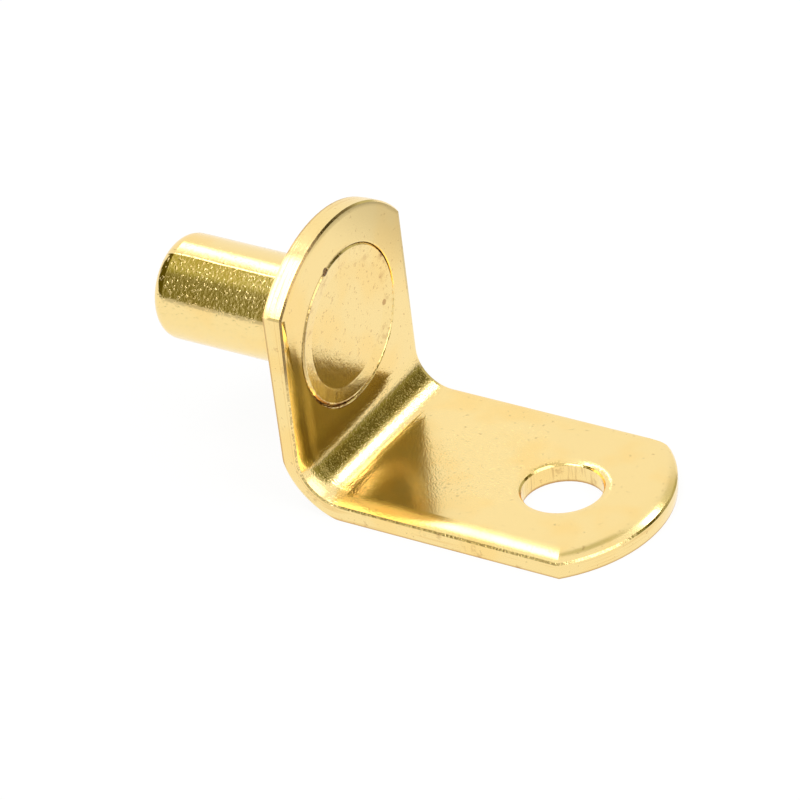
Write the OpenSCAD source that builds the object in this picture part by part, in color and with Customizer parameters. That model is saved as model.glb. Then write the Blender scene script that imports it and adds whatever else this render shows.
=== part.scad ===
// Shelf support: a bent steel strip with a headed peg pressed through its upright leg.
//
// The peg points along -X into the side of the cabinet, the plate runs out along +X under the
// shelf, and +Z is up. The origin is where the peg's axis meets the flange's wall-side face.
// The strip was sheared from sheet: every edge of it rolls over on the shelf side, is square
// below that, and tapers in a little towards the side where the sheet broke away. The roll-over
// is fine round the top of the flange and along the back of the strip, at +Y. Down the front edge
// of the flange it widens into the broad roll-over of the bend and the plate.

/* [Strip] */
// Width of the strip, along Y
strip_width = 12.7; // [11:0.1:13.5]
// Thickness of the strip
strip_thickness = 1.3; // [1.2:0.05:2]
// Radius on the hollow side of the bend
bend_radius = 2.2; // [1:0.1:2.7]
// How much the strip narrows, on each side, at the outside of the bend
neck_width = 0.2; // [0.1:0.05:0.5]
// How far in from the outside of the bend that narrowing reaches
neck_height = 0.3; // [0.2:0.05:0.5]
// Radius of the corners where a rounded end meets the front edge
front_corner_radius = 0.4; // [0.2:0.1:1]
// Radius of the corners where a rounded end meets the back edge
back_corner_radius = 1.2; // [0.2:0.1:1.4]

/* [Flange] */
// From the plate's underside up to the peg's axis
peg_height = 9; // [8.6:0.1:14]
// From the peg's axis up to the top of the flange
flange_rise = 7.1; // [6.5:0.1:12]
// Radius of the flange's rounded top
flange_end_radius = 8; // [7.6:0.1:12]

/* [Plate] */
// From the flange's wall-side face to the tip of the plate
plate_reach = 20.8; // [18:0.1:40]
// Radius of the plate's rounded tip
plate_end_radius = 8.4; // [7.6:0.1:11]
// Diameter of the screw hole
screw_hole_diameter = 4.75; // [3:0.05:6]
// From the tip of the plate back to the centre of the screw hole
screw_hole_setback = 6.25; // [5:0.05:8]

/* [Sheared edges] */
// How far the broad roll-over reaches in, along the front of the bend and plate and round the tip
roll_reach = 1.2; // [0.6:0.05:1.5]
// Radius of the broad roll-over
roll_radius = 3; // [2.5:0.1:8]
// How far the fine roll-over reaches in, along the back and round the top of the flange
fine_roll_reach = 0.35; // [0.25:0.05:0.5]
// Radius of the fine roll-over
fine_roll_radius = 1; // [0.8:0.1:1.5]
// How far the roll-over reaches in from the screw hole
hole_roll_reach = 0.5; // [0.2:0.05:0.8]
// Radius of the roll-over round the screw hole
hole_roll_radius = 1.5; // [1:0.1:3]
// Width of the blunted lip between a roll-over and the cut face
lip_width = 0.1; // [0.05:0.01:0.15]
// Height of that lip
lip_height = 0.12; // [0.05:0.01:0.2]
// Height of the broken-away part of a cut face
break_height = 0.5; // [0.1:0.05:0.6]
// How far that part tapers in
break_taper = 0.05; // [0.01:0.01:0.15]

/* [Peg] */
// Diameter of the peg
peg_diameter = 6.3; // [4:0.1:6.4]
// Length of the peg beyond the flange
peg_length = 10.4; // [6:0.1:20]
// Radius of the peg's rounded tip
peg_tip_radius = 0.9; // [0.3:0.1:2]
// How much wider the peg is, in radius, where it is pressed through the flange
press_land_step = 0.2; // [0.16:0.02:0.3]
// Diameter of the peg's head
head_diameter = 9.5; // [8:0.1:10.4]
// Thickness of the peg's head at its rim
head_thickness = 0.75; // [0.5:0.05:0.9]
// Width of the sloping ring round the face of the head
head_slope_width = 1; // [0.4:0.1:1.3]
// Depth of the face of the head below its rim
head_dish = 0.1; // [0.04:0.02:0.2]
// Radius of the small round at the rim of the head and at the lip of its seat
seam_radius = 0.1; // [0.05:0.01:0.15]

/* [Fits] */
// Gap between the peg's pressed land and its hole, all round
land_fit = 0.01; // [0.005:0.005:0.05]
// Gap between the rim of the head and its seat, all round
head_fit = 0.04; // [0.01:0.01:0.1]

/* [Hidden] */
round_steps = 96;
fade_steps = 720;
fade_ledge = 0.01; // how much shallower the fading roll-over starts than that of the bend
overcut = 1;
first_slope = 3; // slope at which a rounding leaves the face that it starts from
collar_rolls = 1.5; // width of the collar round the screw hole, in reaches of its roll-over

plate_bottom = -peg_height;
bend_outer_radius = bend_radius + strip_thickness;
bend_angle = 90;
flange_start_z = plate_bottom + bend_outer_radius;
flange_end_z = flange_rise - flange_end_radius;
plate_end_x = plate_reach - plate_end_radius;
screw_hole_x = plate_reach - screw_hole_setback;
screw_hole_radius = screw_hole_diameter / 2;
hole_collar_radius = screw_hole_radius + collar_rolls * hole_roll_reach;
peg_radius = peg_diameter / 2;
press_land_radius = peg_radius + press_land_step;
head_radius = head_diameter / 2;
head_seat_x = strip_thickness - head_thickness;

// Centre of the arc of a roll-over that ends at x = edge
function roll_centre(edge, reach, radius) =
    [edge - reach - radius * sin(first_slope), strip_thickness - radius * cos(first_slope)];

// Height above the far face at which a roll-over meets its lip
function lip_top(reach, radius) =
    let (centre = roll_centre(lip_width, reach, radius))
    centre.y + sqrt(radius * radius - centre.x * centre.x);

// Height above the far face at which the lip meets the cut face
function lip_bottom(reach, radius) = lip_top(reach, radius) - lip_height;

// All that lies below the flat face, the roll-over and the plane of its blunted lip.
// The shelf side is at y = strip_thickness, the cut face at x = edge.
module below_roll_over(edge, reach, radius) {
    centre = roll_centre(edge, reach, radius);
    lip_slope = lip_height / lip_width;
    lip_start = [edge, lip_bottom(reach, radius)];
    intersection() {
        polygon([
            [0, -strip_thickness],
            lip_start + (lip_start.y + strip_thickness) * [1 / lip_slope, -1],
            lip_start - (strip_thickness - lip_start.y) * [1 / lip_slope, -1],
            [0, strip_thickness]
        ]);
        union() {
            translate([0, -strip_thickness]) square([centre.x, 2 * strip_thickness + overcut]);
            translate(centre) circle(r = radius, $fn = round_steps);
        }
    }
}

// Section through sheared sheet, from a line inside it out to its edge at x = edge
module sheared_section(edge, reach, radius) {
    centre = roll_centre(edge, reach, radius);
    lip_start = [edge, lip_bottom(reach, radius)];
    lip_slope = lip_height / lip_width;
    intersection() {
        // the cut face, the broken face below it and the lip above it
        polygon([
            [0, 0],
            [edge - break_taper, 0],
            [edge, break_height],
            lip_start,
            lip_start - (strip_thickness - lip_start.y) * [1 / lip_slope, -1],
            [0, strip_thickness]
        ]);
        // the flat face and the roll-over
        union() {
            square([centre.x, strip_thickness + overcut]);
            translate(centre) circle(r = radius, $fn = round_steps);
        }
    }
}

// Section across the strip: its thickness along X from the wall side, its width along Y.
// The back edge always has the fine roll-over, the front edge the one that is given.
module strip_section(front_reach, front_radius) {
    mirror([1, -1]) sheared_section(strip_width / 2, fine_roll_reach, fine_roll_radius);
    rotate(-90) sheared_section(strip_width / 2, front_reach, front_radius);
}

// The sheet that a rounded end leaves: half a disc round the end's own centre, with its edge sheared,
// and sheet wider than the strip for some length behind it. It lies on the XY plane.
module end_sheet(end_radius, reach, radius, length) {
    rotate([0, 0, -90])
        rotate_extrude(angle = 180, $fn = round_steps)
            sheared_section(end_radius, reach, radius);
    translate([-length, -strip_width, 0]) cube([length, 2 * strip_width, strip_thickness]);
}

// What rounding cuts from both corners between the strip's edges and such an end
module corners_waste(end_radius) {
    corner_waste(end_radius, back_corner_radius);
    mirror([0, 1, 0]) corner_waste(end_radius, front_corner_radius);
}

// What rounding cuts from the corner between the edge of the strip at +Y and such an end
module corner_waste(end_radius, corner_radius) {
    translate([0, 0, -overcut])
        linear_extrude(strip_thickness + 2 * overcut)
            corner_outline(end_radius, corner_radius);
}

// Outline of what that cuts away, with the centre of the end at the origin
module corner_outline(end_radius, corner_radius) {
    inner_radius = end_radius - corner_radius * cos(first_slope);
    centre_y = strip_width / 2 - corner_radius * cos(first_slope);
    centre = [sqrt(inner_radius * inner_radius - centre_y * centre_y), centre_y];
    outside = centre * (end_radius + overcut) / inner_radius;
    difference() {
        polygon([centre, [centre.x, strip_width], [outside.x, strip_width], outside]);
        translate(centre) circle(r = corner_radius, $fn = round_steps);
    }
}

// What the broad roll-over cuts from the front of the flange, from the end of the bend up.
// It curves away towards the shelf side, so that it is gone at the top of the flange.
module flange_front_waste() {
    rise = flange_rise - flange_start_z;
    depth = strip_thickness - lip_bottom(roll_reach, roll_radius);
    fade_radius = (rise * rise + depth * depth) / (2 * depth);
    axis_x = strip_thickness + fade_radius;
    translate([axis_x + fade_ledge, 0, flange_start_z])
        rotate([90, 0, 180])
            rotate_extrude(angle = asin((rise + overcut) / fade_radius), $fn = fade_steps)
                translate([axis_x, 0])
                    mirror([1, 0])
                        mirror([1, -1])
                            difference() {
                                translate([roll_centre(strip_width / 2, roll_reach, roll_radius).x, 0])
                                    square([strip_width, strip_thickness + overcut]);
                                below_roll_over(strip_width / 2, roll_reach, roll_radius);
                            }
}

// What the narrowing at the outside of the bend cuts from one side: all beyond a cone whose axis is
// moved from that of the bend, so that the cut ends where the bend does
module neck_waste() {
    slope = neck_height / neck_width;
    shift = neck_height * (2 * bend_outer_radius - neck_height)
        / ((2 - sqrt(2)) * bend_outer_radius - 2 * neck_height);
    start = bend_outer_radius + shift - neck_height;
    translate([bend_outer_radius + shift / sqrt(2), 0, flange_start_z + shift / sqrt(2)])
        rotate([90, 0, 0])
            rotate_extrude($fn = round_steps)
                polygon([
                    [start - overcut * slope, -strip_width / 2 - overcut],
                    [start + overcut * slope, -strip_width / 2 + overcut],
                    [start + overcut * slope, -strip_width / 2 - overcut]
                ]);
}

// The sheet round the screw hole, out to the radius hole_collar_radius
module screw_hole_collar() {
    rotate_extrude($fn = round_steps)
        translate([hole_collar_radius, 0])
            mirror([1, 0])
                sheared_section(hole_collar_radius - screw_hole_radius, hole_roll_reach, hole_roll_radius);
}

// Stands what lies on the XY plane up at the centre of the flange's rounded top, with X and Z swapped
module at_flange_end() {
    translate([0, 0, flange_end_z])
        mirror([1, 0, -1])
            children();
}

// The upright leg, from the end of the bend to its rounded top
module flange_leg() {
    rise = flange_rise - flange_start_z;
    difference() {
        intersection() {
            translate([0, 0, flange_start_z])
                linear_extrude(rise)
                    strip_section(fine_roll_reach, fine_roll_radius);
            at_flange_end()
                end_sheet(flange_end_radius, fine_roll_reach, fine_roll_radius, rise);
        }
        at_flange_end() corners_waste(flange_end_radius);
        mirror([0, 1, 0]) flange_front_waste();
    }
}

// The quarter turn between the legs
module bend() {
    difference() {
        translate([bend_outer_radius, 0, flange_start_z])
            rotate([90, 180, 0])
                rotate_extrude(angle = bend_angle, $fn = round_steps)
                    translate([bend_outer_radius, 0])
                        rotate(180)
                            strip_section(roll_reach, roll_radius);
        for (side = [0, 1]) mirror([0, side, 0]) neck_waste();
    }
}

// The level leg, from the end of the bend to its rounded tip, with the screw hole
module plate_leg() {
    difference() {
        intersection() {
            translate([plate_reach, 0, plate_bottom])
                rotate([0, -90, 0])
                    linear_extrude(plate_reach - bend_outer_radius)
                        strip_section(roll_reach, roll_radius);
            translate([plate_end_x, 0, plate_bottom])
                end_sheet(plate_end_radius, roll_reach, roll_radius, plate_reach);
        }
        translate([plate_end_x, 0, plate_bottom]) corners_waste(plate_end_radius);
        translate([screw_hole_x, 0, plate_bottom - overcut])
            cylinder(h = strip_thickness + 2 * overcut, r = hole_collar_radius, $fn = round_steps);
    }
    translate([screw_hole_x, 0, plate_bottom]) screw_hole_collar();
}

// The stepped hole in the flange: the hole for the peg's land, the seat of its head and the rounded lip
module peg_seat() {
    seat_radius = head_radius + head_fit;
    lip_start = strip_thickness - seam_radius;
    rotate([0, 90, 0]) {
        translate([0, 0, -overcut])
            cylinder(h = head_seat_x + 2 * overcut, r = press_land_radius + land_fit, $fn = round_steps);
        translate([0, 0, head_seat_x])
            cylinder(h = head_thickness + overcut, r = seat_radius, $fn = round_steps);
        rotate_extrude($fn = round_steps)
            translate([seat_radius, lip_start])
                difference() {
                    square(seam_radius);
                    translate([seam_radius, 0]) circle(r = seam_radius, $fn = round_steps);
                }
    }
}

module angle_bracket() {
    color("goldenrod")
        difference() {
            union() {
                flange_leg();
                bend();
                plate_leg();
            }
            peg_seat();
        }
}

// Half outline of the peg: its radius along X, its length along Y from the tip up to the head
module peg_outline() {
    head_face = strip_thickness - head_dish;
    slope_start = head_radius - head_slope_width;
    rim = head_radius - seam_radius;
    difference() {
        union() {
            translate([0, -peg_length]) square([peg_radius, peg_length + head_seat_x]);
            square([press_land_radius, head_seat_x]);
            polygon([
                [0, head_seat_x],
                [head_radius, head_seat_x],
                [head_radius, strip_thickness - seam_radius],
                [rim, strip_thickness],
                [slope_start, head_face],
                [0, head_face]
            ]);
        }
        // rounded tip
        translate([peg_radius - peg_tip_radius, -peg_length])
            difference() {
                square(peg_tip_radius);
                translate([0, peg_tip_radius]) circle(r = peg_tip_radius, $fn = round_steps);
            }
    }
}

module headed_peg() {
    color("gold")
        rotate([0, 90, 0])
            rotate_extrude($fn = round_steps) peg_outline();
}

angle_bracket();
headed_peg();
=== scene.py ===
import bpy
from mathutils import Matrix, Vector


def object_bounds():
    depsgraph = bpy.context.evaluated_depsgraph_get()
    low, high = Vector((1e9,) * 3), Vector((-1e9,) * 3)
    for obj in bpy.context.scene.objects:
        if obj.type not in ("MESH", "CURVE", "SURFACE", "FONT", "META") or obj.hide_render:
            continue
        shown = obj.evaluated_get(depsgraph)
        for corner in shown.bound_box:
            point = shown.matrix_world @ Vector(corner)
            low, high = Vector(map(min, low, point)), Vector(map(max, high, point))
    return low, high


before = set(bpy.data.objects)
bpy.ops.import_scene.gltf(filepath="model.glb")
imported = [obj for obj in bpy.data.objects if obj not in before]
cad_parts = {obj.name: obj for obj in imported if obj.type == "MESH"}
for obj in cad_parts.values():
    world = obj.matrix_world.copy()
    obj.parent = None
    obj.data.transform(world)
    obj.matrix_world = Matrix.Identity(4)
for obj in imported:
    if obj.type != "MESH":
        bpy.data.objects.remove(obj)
cad_low, cad_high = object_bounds()

MM = 0.001
MICRON = 0.000001
WHITE = (1.0, 1.0, 1.0, 1.0)


# ---------------------------------------------------------------- node helpers

class Graph:
    """Adds nodes to one node tree and links them. A value is a number, a vector or a socket."""

    def __init__(self, tree):
        self.tree = tree
        tree.nodes.clear()

    def add(self, kind, inputs=None, **settings):
        """A new node with its settings, and with values for some of its inputs."""
        node = self.tree.nodes.new(kind)
        for key, value in settings.items():
            setattr(node, key, value)
        for key, value in (inputs or {}).items():
            self.set(node.inputs[key], value)
        return node

    def set(self, socket, value):
        if isinstance(value, bpy.types.NodeSocket):
            self.tree.links.new(value, socket)
        else:
            socket.default_value = value

    def math(self, operation, *values):
        node = self.add("ShaderNodeMath", operation=operation)
        for socket, value in zip(node.inputs, values):
            self.set(socket, value)
        return node.outputs[0]

    def product(self, *values):
        """All the values multiplied. Of masks, it is where they overlap."""
        result = values[0]
        for value in values[1:]:
            result = self.math("MULTIPLY", result, value)
        return result

    def largest(self, *values):
        result = values[0]
        for value in values[1:]:
            result = self.math("MAXIMUM", result, value)
        return result

    def dot(self, vector, direction):
        node = self.add("ShaderNodeVectorMath", operation="DOT_PRODUCT")
        self.set(node.inputs[0], vector)
        self.set(node.inputs[1], direction)
        return node.outputs["Value"]

    def parts(self, vector):
        """The x, y and z of a vector."""
        return [self.dot(vector, axis) for axis in ((1, 0, 0), (0, 1, 0), (0, 0, 1))]

    def joined(self, x, y, z):
        """A vector from its x, y and z."""
        return self.add("ShaderNodeCombineXYZ", {0: x, 1: y, 2: z}).outputs[0]

    def step(self, value, start, end, to_start=0.0, to_end=1.0):
        """Goes smoothly from to_start to to_end as value goes from start to end, up or down."""
        limits = {"From Min": start, "From Max": end, "To Min": to_start, "To Max": to_end}
        node = self.add("ShaderNodeMapRange", {"Value": value, **limits}, interpolation_type="SMOOTHSTEP")
        return node.outputs[0]

    def mix(self, factor, a, b):
        """A number that goes from a to b as the factor goes from 0 to 1."""
        node = self.add("ShaderNodeMix", data_type="FLOAT")
        self.set(node.inputs[0], factor)
        self.set(node.inputs[2], a)
        self.set(node.inputs[3], b)
        return node.outputs[0]

    def mix_color(self, factor, a, b):
        node = self.add("ShaderNodeMix", data_type="RGBA")
        self.set(node.inputs[0], factor)
        self.set(node.inputs[6], a)
        self.set(node.inputs[7], b)
        return node.outputs[2]

    def noise(self, vector, scale, detail, roughness):
        """Noise from 0 to 1, with about as many lumps in a metre as scale says."""
        inputs = {"Vector": vector, "Scale": scale, "Detail": detail, "Roughness": roughness}
        return self.add("ShaderNodeTexNoise", inputs).outputs[0]


# ---------------------------------------------------------------- camera

# where the camera stands, and what is right, down and ahead in its view
EYE = Vector((0.1537863, -0.2085106, 0.1638549))
RIGHT = Vector((0.8467451, 0.5210672, -0.1072925))
DOWN = Vector((0.2128539, -0.5166553, -0.8293133))
AHEAD = Vector((-0.4875612, 0.6793793, -0.5483865))
# the lens: FOCAL_PX is to the frame's width in pixels as the focal length is to the sensor's width
FOCAL_PX, FRAME_PX, SENSOR = 5373.12, 800.0, 36.0
NEAREST, FARTHEST = 0.01, 100.0


def make_camera():
    data = bpy.data.cameras.new("camera")
    camera = bpy.data.objects.new("camera", data)
    bpy.context.scene.collection.objects.link(camera)
    turn = Matrix((RIGHT, -DOWN, -AHEAD)).transposed()
    camera.matrix_world = Matrix.Translation(EYE) @ turn.to_4x4()
    data.sensor_width = SENSOR
    data.lens = FOCAL_PX * SENSOR / FRAME_PX
    data.clip_start = NEAREST
    data.clip_end = FARTHEST
    bpy.context.scene.camera = camera


# ---------------------------------------------------------------- floor

FLOOR_HALF = 4.0
PAPER = (0.97, 0.97, 0.97, 1.0)
# how far the camera sees the floor as plain white: the rest is the lit paper, with its shadow
FLOOR_WHITENESS = 0.91


def floor_paper():
    """Matt paper. The camera sees it nearly white, and the brass sees it darken away from the object."""
    material = bpy.data.materials.new("floor_paper")
    material.use_nodes = True
    g = Graph(material.node_tree)
    rays = g.add("ShaderNodeLightPath").outputs
    camera_ray, glossy_ray = rays["Is Camera Ray"], rays["Is Glossy Ray"]

    # level is 1 at the object. It drops in two steps behind on the right, and in one step in front.
    place = g.add("ShaderNodeTexCoord").outputs["Object"]
    right = g.step(g.dot(place, (1.0, 0.0, 0.0)), -5 * MM, 8 * MM)
    back = g.dot(place, (-0.35, 0.94, 0.0))
    front = g.dot(place, (0.30, -0.95, 0.0))
    level = g.mix(g.product(right, g.step(back, 12 * MM, 17 * MM)), 1.0, 0.70)
    level = g.mix(g.product(right, g.step(back, 18 * MM, 40 * MM)), level, 0.38)
    level = g.mix(g.step(front, 35 * MM, 85 * MM), level, 0.60)

    paper = g.add("ShaderNodeBsdfDiffuse", {"Color": PAPER})
    strength = g.largest(camera_ray, g.product(glossy_ray, level))
    glow = g.add("ShaderNodeEmission", {"Color": WHITE, "Strength": strength})
    glowing = g.largest(g.product(camera_ray, FLOOR_WHITENESS), glossy_ray)
    shown = g.add("ShaderNodeMixShader", {0: glowing, 1: paper.outputs[0], 2: glow.outputs[0]})
    g.add("ShaderNodeOutputMaterial", {"Surface": shown.outputs[0]})
    return material


def make_floor():
    mesh = bpy.data.meshes.new("floor")
    sides = ((-1, -1), (1, -1), (1, 1), (-1, 1))
    corners = [(x * FLOOR_HALF, y * FLOOR_HALF, cad_low.z) for x, y in sides]
    mesh.from_pydata(corners, [], [(0, 1, 2, 3)])
    mesh.materials.append(floor_paper())
    floor = bpy.data.objects.new("floor", mesh)
    bpy.context.scene.collection.objects.link(floor)


# ---------------------------------------------------------------- studio

# the colour of the light, by its level: GAIN * level + DARK, and 1 at most
GREEN_GAIN, GREEN_DARK = 0.85, 0.78
BLUE_GAIN, BLUE_DARK = 1.20, 0.03
# the blue that is left in front on the left
FRONT_LEFT_BLUE = 0.40


class Studio(Graph):
    """The light from each direction, which is a unit vector: x to the right, y to the back and z up."""

    def __init__(self, tree):
        super().__init__(tree)
        self.sky = self.add("ShaderNodeTexCoord").outputs["Generated"]
        self.x, self.y, self.z = self.parts(self.sky)
        self.above = self.step(self.z, 0.02, 0.08)

    def left_of(self, first, last, soft):
        """1 on the left of the line from the first to the last (x, y), and 0 on its right.

        A negative soft swaps the two.
        """
        along = Vector(last) - Vector(first)
        across = Vector((along.y, -along.x)).normalized()
        offset = across.dot(Vector(first))
        return self.step(self.dot(self.sky, (across.x, across.y, 0.0)), offset + soft, offset - soft)

    def softbox(self, x_low, x_high, y_low, y_high, level):
        """A softbox above the object. Each side is (where it starts, where it is full)."""
        in_x = (self.step(self.x, *x_low), self.step(self.x, *x_high))
        in_y = (self.step(self.y, *y_low), self.step(self.y, *y_high))
        return self.product(self.above, *in_x, *in_y, level)

    def softboxes(self):
        # the first is narrow, high on the left, and leans outwards towards the back
        left = self.product(
            self.above,
            self.left_of((-0.47, 0.42), (-0.53, 0.61), 0.02),
            self.left_of((-0.53, 0.38), (-0.47, 0.14), 0.02),
            self.left_of((-0.60, 0.60), (-0.50, 0.66), -0.03),
            self.step(self.y, 0.08, 0.18),
            4.0)
        back = self.softbox(
            x_low=(-0.04, 0.02), x_high=(0.31, 0.25), y_low=(0.60, 0.64), y_high=(0.72, 0.70), level=6.0)
        right = self.softbox(
            x_low=(0.00, 0.50), x_high=(0.96, 0.90), y_low=(-0.45, -0.30), y_high=(0.36, 0.10), level=2.4)
        front = self.softbox(
            x_low=(-0.42, -0.36), x_high=(0.30, -0.10), y_low=(-0.74, -0.66), y_high=(0.10, -0.10),
            level=4.0)
        return left, back, right, front

    def room(self, front_left):
        """The room round the softboxes: pale, with darker parts laid over each other."""
        x, y, z = self.x, self.y, self.z
        dim_streak = self.product(
            self.left_of((-0.05, 0.36), (0.00, 0.56), 0.03),
            self.left_of((-0.19, 0.56), (-0.26, 0.36), 0.04),
            self.step(y, 0.33, 0.38),
            self.step(y, 0.60, 0.55))
        horizon = self.product(
            self.step(z, 0.20, 0.02),
            self.step(x, 0.05, 0.35),
            self.step(y, 0.36, 0.44))
        parts = (
            (dim_streak, 0.58),
            # the corner behind on the right, and the darkest part of it
            (self.product(self.step(x, 0.33, 0.43), self.left_of((0.30, 0.52), (0.92, 0.30), 0.05)), 0.26),
            (self.product(self.step(x, 0.41, 0.51), self.step(y, 0.50, 0.57)), 0.09),
            # the corner in front on the left, with its low part and its far part
            (front_left, 0.42),
            (self.product(front_left, self.step(y, -0.30, -0.55)), 0.16),
            (self.product(self.step(x, -0.60, -0.66), self.step(y, 0.25, 0.18)), 0.09),
            # far behind, and along the horizon behind on the right
            (self.product(self.step(x, -0.20, 0.05), self.step(y, 0.71, 0.75)), 0.56),
            (horizon, 0.44),
            (self.product(horizon, self.step(x, 0.62, 0.70)), 0.20),
        )
        # in front it is a little darker all along
        light = self.mix(self.step(y, -0.36, -0.46), 0.98, 0.70)
        for part, level in parts:
            light = self.mix(part, light, level)
        return light


def make_studio():
    world = bpy.data.worlds.new("studio")
    bpy.context.scene.world = world
    world.use_nodes = True
    g = Studio(world.node_tree)
    front_left = g.product(g.step(g.x, -0.485, -0.515), g.step(g.y, 0.22, 0.14))
    light = g.largest(g.room(front_left), *g.softboxes())

    # the darker parts of the room are warmer, as if lit by what the brass throws back at them
    green = g.math("MINIMUM", g.math("MULTIPLY_ADD", light, GREEN_GAIN, GREEN_DARK), 1.0)
    blue = g.math("MINIMUM", g.math("MULTIPLY_ADD", light, BLUE_GAIN, BLUE_DARK), 1.0)
    blue = g.product(blue, g.mix(front_left, 1.0, FRONT_LEFT_BLUE))
    tint = g.add("ShaderNodeCombineColor", {"Red": 1.0, "Green": green, "Blue": blue})

    # the camera sees a white background instead
    camera_ray = g.add("ShaderNodeLightPath").outputs["Is Camera Ray"]
    lit = g.add("ShaderNodeBackground", {"Color": tint.outputs[0], "Strength": light})
    white = g.add("ShaderNodeBackground", {"Color": WHITE, "Strength": 1.0})
    shown = g.add("ShaderNodeMixShader", {0: camera_ray, 1: lit.outputs[0], 2: white.outputs[0]})
    g.add("ShaderNodeOutputWorld", {"Surface": shown.outputs[0]})


# ---------------------------------------------------------------- plating

BRASS = (0.98, 0.75, 0.33, 1.0)
AMBER = (1.0, 0.69, 0.24, 1.0)
BROWN = (0.42, 0.20, 0.07, 1.0)
AMBER_BROWN = (0.75, 0.42, 0.12, 1.0)
# the next two colours are painted shade, for the lines along the lip, the seam's left side and the notch
PAINTED_SHADE_OLIVE = (0.40, 0.27, 0.09, 1.0)
PAINTED_SHADE_DARK = (0.16, 0.09, 0.04, 1.0)

# sizes of the part that the marks follow, in metres
BEND_X, BEND_Z = 3.5 * MM, -5.5 * MM
BEND_INNER, BEND_OUTER = 2.2 * MM, 3.5 * MM
PLATE_UNDERSIDE, PLATE_TOP = -9.0 * MM, -7.7 * MM
HOLE_X, HOLE_RADIUS = 14.55 * MM, 2.375 * MM
SEAM_RADIUS = 4.77 * MM

# a notch in the seam round the peg's head, where its shade is painted dark: its y and z in millimetres
NOTCH = (-1.62, 4.55)


class Plating(Graph):
    """A plated surface: where a point is, colour laid over colour, and bumps on bumps."""

    def __init__(self, name):
        self.material = bpy.data.materials.new(name)
        self.material.use_nodes = True
        super().__init__(self.material.node_tree)
        coordinates = self.add("ShaderNodeTexCoord").outputs
        self.place = coordinates["Object"]
        self.face = coordinates["Normal"]
        self.x, self.y, self.z = self.parts(self.place)
        self.color = BRASS
        self.roughness = 0.15
        self.normal = None

    def less(self, value, amount):
        return self.math("SUBTRACT", value, amount)

    def across(self, u, v):
        """Distance of the point (u, v) from (0, 0)."""
        return self.math("SQRT", self.math("ADD", self.product(u, u), self.product(v, v)))

    def eased(self, height, most):
        """A height that rises ever more slowly, to half of most where it was most, and then stays."""
        height = self.math("MINIMUM", self.math("MAXIMUM", height, 0.0), most)
        return self.product(height, self.math("MULTIPLY_ADD", height, -0.5 / most, 1.0))

    def left_half(self):
        """1 on the left of the flange as the shelf's side shows it, and 0 on its right."""
        return self.step(self.y, 1.2 * MM, -0.5 * MM)

    def spot(self, y, z, radius, ragged):
        """A small ragged mark on the flange's shelf side, given in millimetres."""
        away = self.across(self.less(self.y, y * MM), self.less(self.z, z * MM))
        away = self.math("MULTIPLY_ADD", ragged, 0.5 * radius * MM, away)
        inside = self.step(away, 1.25 * radius * MM, 1.0 * radius * MM)
        return self.product(inside, self.step(self.x, 0.6 * MM, 0.8 * MM))

    def paint(self, mask, color):
        self.color = self.mix_color(mask, self.color, color)

    def bump(self, height, distance):
        """Raises the surface by height times distance, on top of the bumps before."""
        node = self.add("ShaderNodeBump", {"Strength": 1.0, "Distance": distance, "Height": height})
        if self.normal is not None:
            self.set(node.inputs["Normal"], self.normal)
        self.normal = node.outputs[0]

    def finish(self):
        shader = self.add("ShaderNodeBsdfPrincipled", {"Metallic": 1.0, "Normal": self.normal})
        self.set(shader.inputs["Base Color"], self.color)
        self.set(shader.inputs["Roughness"], self.roughness)
        self.add("ShaderNodeOutputMaterial", {"Surface": shader.outputs[0]})
        return self.material


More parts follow.
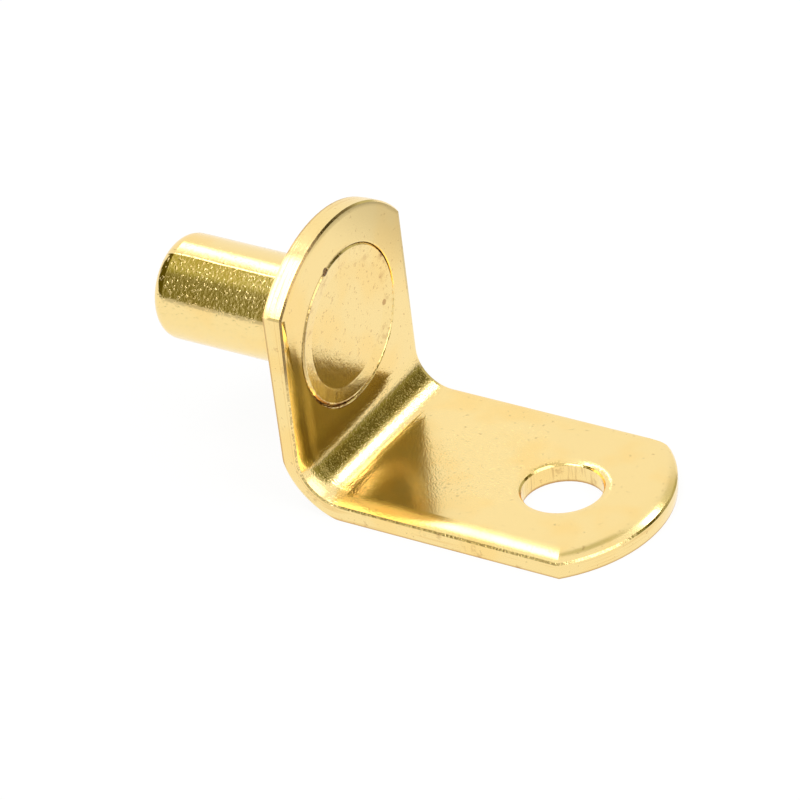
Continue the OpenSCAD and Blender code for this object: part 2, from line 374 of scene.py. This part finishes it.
def bracket_plating():
    p = Plating("bracket_plating")
    fine = p.noise(p.place, 7800.0, 1.0, 0.5)
    grit = p.noise(p.place, 7500.0, 1.0, 0.5)
    speck = p.noise(p.place, 3400.0, 1.0, 0.5)
    broad = p.noise(p.place, 900.0, 3.0, 0.6)
    cloud = p.noise(p.place, 260.0, 2.0, 0.5)

    # reach grows from BEND_INNER on the sheet's inner side to BEND_OUTER on its outer side. In the bend
    # it is the distance from the bend's axis, and in the flange and the plate that from its plane.
    in_x = p.math("MINIMUM", p.less(p.x, BEND_X), 0.0)
    in_z = p.math("MINIMUM", p.less(p.z, BEND_Z), 0.0)
    reach = p.across(in_x, in_z)
    from_outside = p.math("SUBTRACT", BEND_OUTER, reach)
    # along_sheet is 1 where a face lies along the sheet, and 0 where it is square to it
    outwards = p.joined(in_x, 0.0, in_z)
    along_sheet = p.math("ABSOLUTE", p.math("DIVIDE", p.dot(p.face, outwards), reach))
    from_hole = p.across(p.less(p.x, HOLE_X), p.y)
    clear_of_hole = p.step(from_hole, HOLE_RADIUS + 0.6 * MM, HOLE_RADIUS + 0.7 * MM)
    edge = p.step(along_sheet, 0.35, 0.20)
    lip = p.product(
        p.step(along_sheet, 0.45, 0.55),
        p.step(along_sheet, 0.86, 0.78),
        clear_of_hole,
        p.step(p.y, 3.0 * MM, 1.0 * MM))
    lip_middle = p.product(lip, p.step(along_sheet, 0.58, 0.66), p.step(along_sheet, 0.82, 0.74))

    # warmer clouds all over. The lip has painted shade: a dark line round the flange's end, and a broken
    # olive one all along it. The sheared edges are brown at their foot, and mottled.
    p.paint(p.step(cloud, 0.44, 0.66, 0.0, 0.55), AMBER)
    p.paint(p.product(lip, p.step(p.z, -1.5 * MM, 1.0 * MM), 0.85), PAINTED_SHADE_DARK)
    p.paint(p.product(lip_middle, p.step(grit, 0.46, 0.54), 0.60), PAINTED_SHADE_OLIVE)
    p.paint(p.product(edge, p.step(from_outside, 0.16 * MM, 0.02 * MM), 0.6), BROWN)
    p.paint(p.product(edge, p.step(broad, 0.60, 0.72), 0.35), BROWN)

    # lines that the shears have drawn along the edges: noise that is stretched 20 times that way
    drawn_at = p.joined(from_outside, p.product(p.x, 1 / 20), p.product(p.y, 1 / 20))
    drawn = p.noise(drawn_at, 4200.0, 2.0, 0.6)
    p.paint(p.product(edge, clear_of_hole, p.step(drawn, 0.56, 0.68), 0.30), AMBER_BROWN)

    # the screw hole: its rim, and its sheared wall with a brown foot and long streaks down it
    wall = p.step(from_hole, HOLE_RADIUS + 0.07 * MM, HOLE_RADIUS + 0.02 * MM)
    rim = p.product(
        p.step(from_hole, HOLE_RADIUS + 0.65 * MM, HOLE_RADIUS + 0.40 * MM),
        p.step(p.z, PLATE_UNDERSIDE + 0.9 * MM, PLATE_UNDERSIDE + 1.0 * MM))
    foot = p.step(p.z, PLATE_UNDERSIDE + 0.20 * MM, PLATE_UNDERSIDE + 0.05 * MM)
    streaked_at = p.add("ShaderNodeVectorMath", {0: p.place, 1: (1.0, 1.0, 0.08)}, operation="MULTIPLY")
    streaks = p.noise(streaked_at.outputs[0], 5200.0, 2.0, 0.6)
    p.paint(p.product(wall, p.step(streaks, 0.50, 0.70), 0.35), BROWN)
    p.paint(p.product(wall, foot, 0.7), BROWN)

    # small brown specks, and the notch painted dark as shade
    p.paint(p.product(p.step(speck, 0.69, 0.76), 0.30), BROWN)
    p.paint(p.spot(*NOTCH, 0.20, p.less(broad, 0.5)), PAINTED_SHADE_DARK)

    # the seam round the peg's head has painted shade on its left: olive at the upper left, and brown at
    # the lower left
    from_axis = p.across(p.y, p.z)
    left = p.left_half()
    seam = p.product(
        p.step(from_axis, SEAM_RADIUS - 0.10 * MM, SEAM_RADIUS),
        p.step(from_axis, SEAM_RADIUS + 0.22 * MM, SEAM_RADIUS + 0.12 * MM),
        p.step(p.x, 0.9 * MM, 1.1 * MM))
    p.paint(p.product(seam, left, p.step(p.z, -2.0 * MM, 0.5 * MM), 0.6), PAINTED_SHADE_OLIVE)
    p.paint(p.product(seam, left, p.step(p.z, 0.0, -1.5 * MM), p.step(speck, 0.44, 0.56), 0.7), BROWN)

    # bumps: rolled waviness, fine grain that bending has opened, and grit in the bend
    bent = p.product(p.step(p.x, 10.5 * MM, 7.0 * MM), p.step(p.z, -1.0 * MM, -5.5 * MM))
    curved = p.product(p.step(in_x, -0.1 * MM, -0.4 * MM), p.step(in_z, -0.1 * MM, -0.4 * MM))
    p.bump(broad, 2.0 * MICRON)
    p.bump(p.product(p.math("MULTIPLY_ADD", bent, 0.55, 0.20), fine), 9.0 * MICRON)
    p.bump(p.product(curved, p.step(grit, 0.56, 0.68)), 3.5 * MICRON)
    # a patch of grit on the plate's top, between the bend and the hole
    patch_x, patch_y = 9.5 * MM, 0.5 * MM
    from_patch = p.across(p.less(p.x, patch_x), p.less(p.y, patch_y))
    patch = p.step(from_patch, 4.8 * MM, 2.5 * MM)
    near_top = p.step(p.z, PLATE_UNDERSIDE + 0.9 * MM, PLATE_TOP)
    p.bump(p.product(patch, p.step(grit, 0.60, 0.68), near_top), 7.0 * MICRON)
    # streaks on the hole's wall and along the edges, and glitter on the rim, the seam and the lip
    p.bump(p.product(wall, streaks), 10.0 * MICRON)
    p.bump(p.product(edge, clear_of_hole, drawn), 9.0 * MICRON)
    p.bump(p.product(rim, speck), 12.0 * MICRON)
    p.bump(p.product(seam, left, speck), 20.0 * MICRON)
    p.bump(p.product(lip, grit), 10.0 * MICRON)

    # Slopes that turn a whole face. The edge of the flange's end leans a little to the shelf, by a slope
    # of 0.20 up to lean_change and of 0.10 from there.
    lean_change = 0.5 * MM
    lean = p.math(
        "ADD",
        p.product(p.math("MINIMUM", p.x, lean_change), -0.20),
        p.product(p.math("MAXIMUM", p.less(p.x, lean_change), 0.0), -0.10))
    p.bump(p.product(edge, p.step(p.z, 0.5 * MM, 2.0 * MM), lean), 1.0)
    # The bend runs out into the plate flatter than an arc, and so does the roll-over into the flange's
    # face, at the front. The flange's back keeps its flat face.
    not_back = p.step(p.dot(p.face, (1.0, 0.0, 0.0)), -0.8, -0.5)
    run_out = p.product(
        not_back,
        p.step(p.x, 4.5 * MM, 3.9 * MM),
        p.step(p.y, -5.4 * MM, -4.4 * MM),
        p.eased(p.less(p.z, PLATE_TOP), 0.06 * MM))
    p.bump(run_out, -0.9)
    roll_over = p.product(
        p.step(p.y, -3.5 * MM, -4.5 * MM),
        p.step(p.z, -6.4 * MM, -5.6 * MM),
        p.step(p.z, 2.8 * MM, 1.8 * MM),
        p.product(not_back, p.eased(p.less(reach, BEND_INNER), 0.24 * MM)))
    p.bump(roll_over, 0.85)
    return p.finish()


def peg_plating():
    p = Plating("peg_plating")
    fine = p.noise(p.place, 5600.0, 1.0, 0.5)
    flecks = p.noise(p.place, 5200.0, 0.0, 0.5)
    speck = p.noise(p.place, 3800.0, 2.0, 0.6)
    broad = p.noise(p.place, 1100.0, 3.0, 0.6)
    cloud = p.noise(p.place, 300.0, 2.0, 0.5)
    head = p.step(p.x, 0.1 * MM, 0.5 * MM)
    shank = p.math("SUBTRACT", 1.0, head)
    radius = p.across(p.y, p.z)
    p.roughness = p.mix(head, 0.12, 0.17)

    # warmer clouds, brown specks on the head, and mottling on its sloping ring
    p.paint(p.step(cloud, 0.44, 0.66, 0.0, 0.5), AMBER)
    p.paint(p.product(head, p.step(speck, 0.60, 0.70), 0.35), BROWN)
    p.paint(p.product(head, p.step(radius, 3.6 * MM, 3.9 * MM), p.step(broad, 0.50, 0.66), 0.30), BROWN)

    # the head's side of the seam with painted shade on its left, the notch in it painted dark as shade,
    # and two brown spots on the head
    seam = p.product(head, p.step(radius, 4.54 * MM, 4.66 * MM), p.left_half())
    p.paint(p.product(seam, p.step(p.z, -1.5 * MM, 1.0 * MM), 0.65), PAINTED_SHADE_OLIVE)
    p.paint(p.product(seam, p.step(p.z, 0.0, -1.5 * MM), p.step(broad, 0.42, 0.54), 0.8), BROWN)
    ragged = p.less(speck, 0.5)
    p.paint(p.spot(*NOTCH, 0.26, ragged), PAINTED_SHADE_DARK)
    p.paint(p.product(p.spot(3.78, -0.77, 0.16, ragged), 0.6), BROWN)
    p.paint(p.product(p.spot(3.99, 2.39, 0.14, ragged), 0.7), BROWN)

    # a drawn line along the shank, at about 0.38 radians to the front of its top
    around = p.math("ARCTAN2", p.product(p.y, -1.0), p.z)
    line_at = p.math("MULTIPLY_ADD", p.noise(p.place, 500.0, 1.0, 0.5), 0.05, 0.36)
    off_line = p.math("ABSOLUTE", p.math("SUBTRACT", around, line_at))
    line = p.product(shank, p.step(off_line, 0.035, 0.0))

    # bumps: waviness all over, and grain with flecks on the shank, which is smoothest along its top
    rough = p.product(shank, p.step(p.math("ABSOLUTE", around), 0.20, 0.42, 0.15, 1.0))
    p.bump(broad, 3.0 * MICRON)
    p.bump(p.product(rough, fine), 5.0 * MICRON)
    p.bump(p.product(rough, p.step(flecks, 0.65, 0.73)), 10.0 * MICRON)
    # turned rings and specks on the head, glitter in the seam, and the drawn line. The rings are noise
    # that changes with the radius, and much more slowly with y and z.
    turned_at = p.joined(radius, p.product(p.y, 0.12), p.product(p.z, 0.12))
    p.bump(p.product(head, p.noise(turned_at, 3800.0, 2.0, 0.6)), 4.0 * MICRON)
    p.bump(p.product(head, speck), 6.0 * MICRON)
    p.bump(p.product(seam, speck), 24.0 * MICRON)
    p.bump(line, 14.0 * MICRON)
    return p.finish()


# ---------------------------------------------------------------- scene

make_camera()
make_floor()
make_studio()

for node, plating in (("angle_bracket", bracket_plating()), ("headed_peg", peg_plating())):
    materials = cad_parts[node].data.materials
    materials.clear()
    materials.append(plating)

bpy.context.scene.view_settings.view_transform = "Standard"
